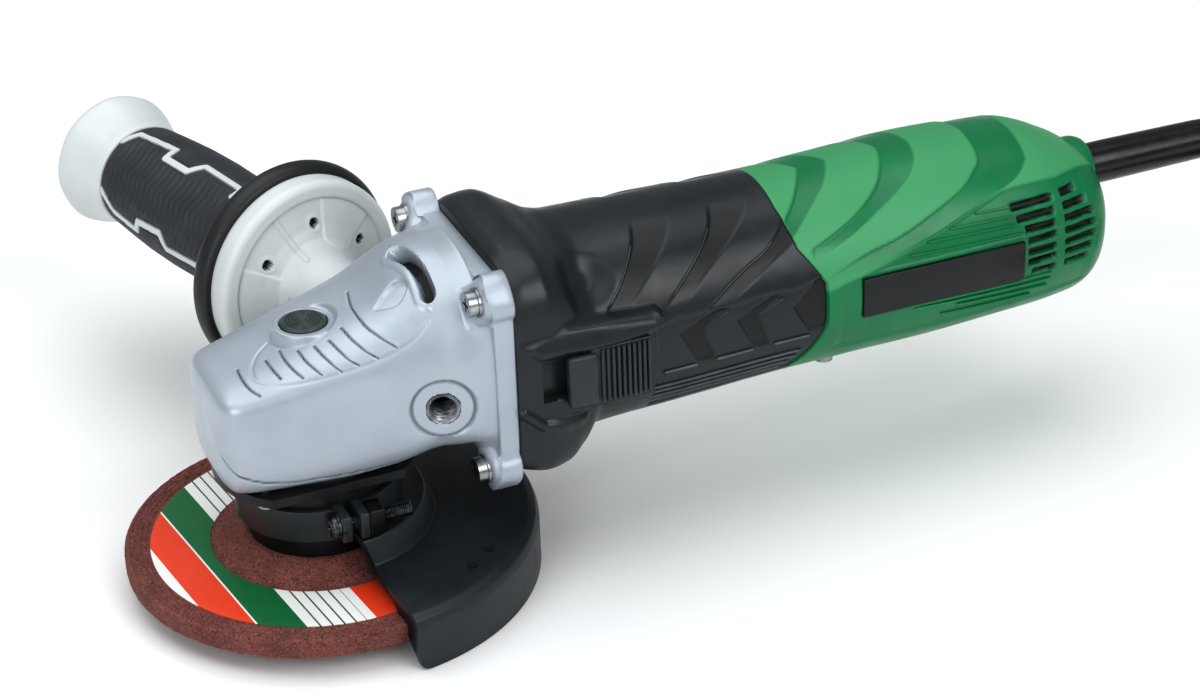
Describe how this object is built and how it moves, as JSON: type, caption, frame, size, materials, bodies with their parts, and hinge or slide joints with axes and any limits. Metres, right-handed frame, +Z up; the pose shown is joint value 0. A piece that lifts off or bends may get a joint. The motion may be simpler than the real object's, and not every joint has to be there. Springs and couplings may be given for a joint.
{
  "type": "angle grinder",
  "caption": "Corded angle grinder with a gear head, slide switch, side handle, adjustable guard and a depressed-centre grinding wheel, with its mains lead coiled beside it.",
  "frame": {"origin": "centre of the inner flange's face that the wheel seats on, on the spindle axis", "axes": "+Z up the spindle towards the lock button, +X from the spindle to the tail and the mains lead, +Y to the side handle"},
  "size_m": [0.5417, 0.3224, 0.1128],
  "materials": {
    "die_cast_aluminium": "satin silver paint on a die casting",
    "bright_steel": "zinc-plated steel",
    "black_casting": "black painted casting",
    "bearing_steel": "ground bearing steel",
    "dark_steel": "blackened steel",
    "sintered_bronze": "sintered bronze",
    "black_housing_plastic": "glossy glass-filled nylon",
    "lamination_steel": "stacked laminations",
    "copper_wire": "enamelled copper wire",
    "brass_sheet": "formed brass sheet",
    "carbon": "pressed carbon",
    "black_rubber": "moulded rubber",
    "green_housing_plastic": "satin and gloss glass-filled nylon",
    "black_label": "black badge with a silver border",
    "switch_plastic": "moulded thermoset",
    "capacitor_plastic": "potted plastic case",
    "cord_rubber": "smooth rubber sheath",
    "plated_brass": "nickel-plated brass",
    "pale_grey_plastic": "fine-textured plastic",
    "grip_elastomer": "soft ribbed elastomer",
    "guard_paint": "dark grey powder paint on pressed steel",
    "gear_steel": "case-hardened steel",
    "black_oxide_steel": "black oxide on turned steel",
    "abrasive": "resin-bonded aluminium oxide grit",
    "printed_label": "printed paper blotter",
    "fan_plastic": "glass-filled nylon",
    "button_plastic": "dark grey nylon with turned rings",
    "knob_plastic": "fine-textured nylon"
  },
  "bodies": {
    "root": {"gear_cover": "die_cast_aluminium", "gear_cover_screws": "bright_steel", "gear_cover_washers": "bright_steel", "packing_gland": "black_casting", "packing_gland_screws": "bright_steel", "spindle_bearing_outer": "bearing_steel", "spindle_bearing_balls": "bearing_steel", "spindle_bearing_ring_clip": "dark_steel", "spindle_bush": "sintered_bronze", "front_bearing_outer": "bearing_steel", "front_bearing_balls": "bearing_steel", "front_bearing_plate": "bright_steel", "motor_housing": "black_housing_plastic", "fan_guide": "black_housing_plastic", "stator_core": "lamination_steel", "stator_coils": "copper_wire", "stator_screws": "bright_steel", "brush_holders": "brass_sheet", "carbon_brushes": "carbon", "brush_springs": "bright_steel", "rear_bearing_outer": "bearing_steel", "rear_bearing_balls": "bearing_steel", "rear_bearing_sleeve": "black_rubber", "tail_cover": "green_housing_plastic", "tail_cover_screws": "bright_steel", "nameplates": "black_label", "switch_body": "switch_plastic", "noise_capacitor": "capacitor_plastic", "cord_armor": "black_rubber", "cord_clip": "black_housing_plastic", "cord_clip_screws": "bright_steel", "power_cord": "cord_rubber", "power_cord_coil": "cord_rubber", "power_cord_end": "cord_rubber", "plug_body": "cord_rubber", "plug_pins": "plated_brass", "lock_spring": "bright_steel"},
    "spindle_group": {"spindle": "bright_steel", "spindle_parts": "bearing_steel", "crown_gear": "gear_steel", "inner_flange": "black_oxide_steel", "grinding_wheel": "abrasive", "wheel_label": "printed_label", "wheel_nut": "black_oxide_steel"},
    "armature_group": {"armature_shaft": "bright_steel", "armature_parts": "gear_steel", "fan": "fan_plastic"},
    "guard_group": {"wheel_guard": "guard_paint", "guard_clamp_screw": "dark_steel", "guard_clamp_nut": "dark_steel", "guard_rivets": "dark_steel"},
    "handle_group": {"handle_stud": "bright_steel", "handle_disc": "pale_grey_plastic", "handle_damper": "black_rubber", "handle_core": "pale_grey_plastic", "handle_grip": "grip_elastomer", "handle_end_cap": "pale_grey_plastic", "handle_disc_screws": "dark_steel"},
    "lock_group": {"lock_button": "button_plastic"},
    "slider_group": {"switch_slider": "knob_plastic"}
  },
  "joints": [
    {"name": "spindle_spin", "type": "hinge", "parent": "root", "child": "spindle_group", "pos_m": [0, 0, 0], "axis": [0, 0, 1], "continuous": true},
    {"name": "armature_spin", "type": "hinge", "parent": "root", "child": "armature_group", "pos_m": [0, 0, 0.0528], "axis": [1, 0, 0], "continuous": true},
    {"name": "guard_turn", "type": "hinge", "parent": "root", "child": "guard_group", "pos_m": [0, 0, 0], "axis": [0, 0, 1], "range_deg": [-90, 90]},
    {"name": "handle_turn", "type": "hinge", "parent": "root", "child": "handle_group", "pos_m": [0.0327, 0.0317, 0.0485], "axis": [-0.2756, 0.9613, 0], "continuous": true},
    {"name": "lock_press", "type": "slide", "parent": "root", "child": "lock_group", "axis": [0, 0, -1], "range_m": [0, 0.004], "stiffness_N_per_m": 300, "springref_m": -0.004, "deforming": ["lock_spring"]},
    {"name": "switch_slide", "type": "slide", "parent": "root", "child": "slider_group", "axis": [-1, 0, 0], "range_m": [0, 0.0065]}
  ],
  "couplings": [
    {"joint": "armature_spin", "follows": "spindle_spin", "ratio": 3.3636}
  ]
}
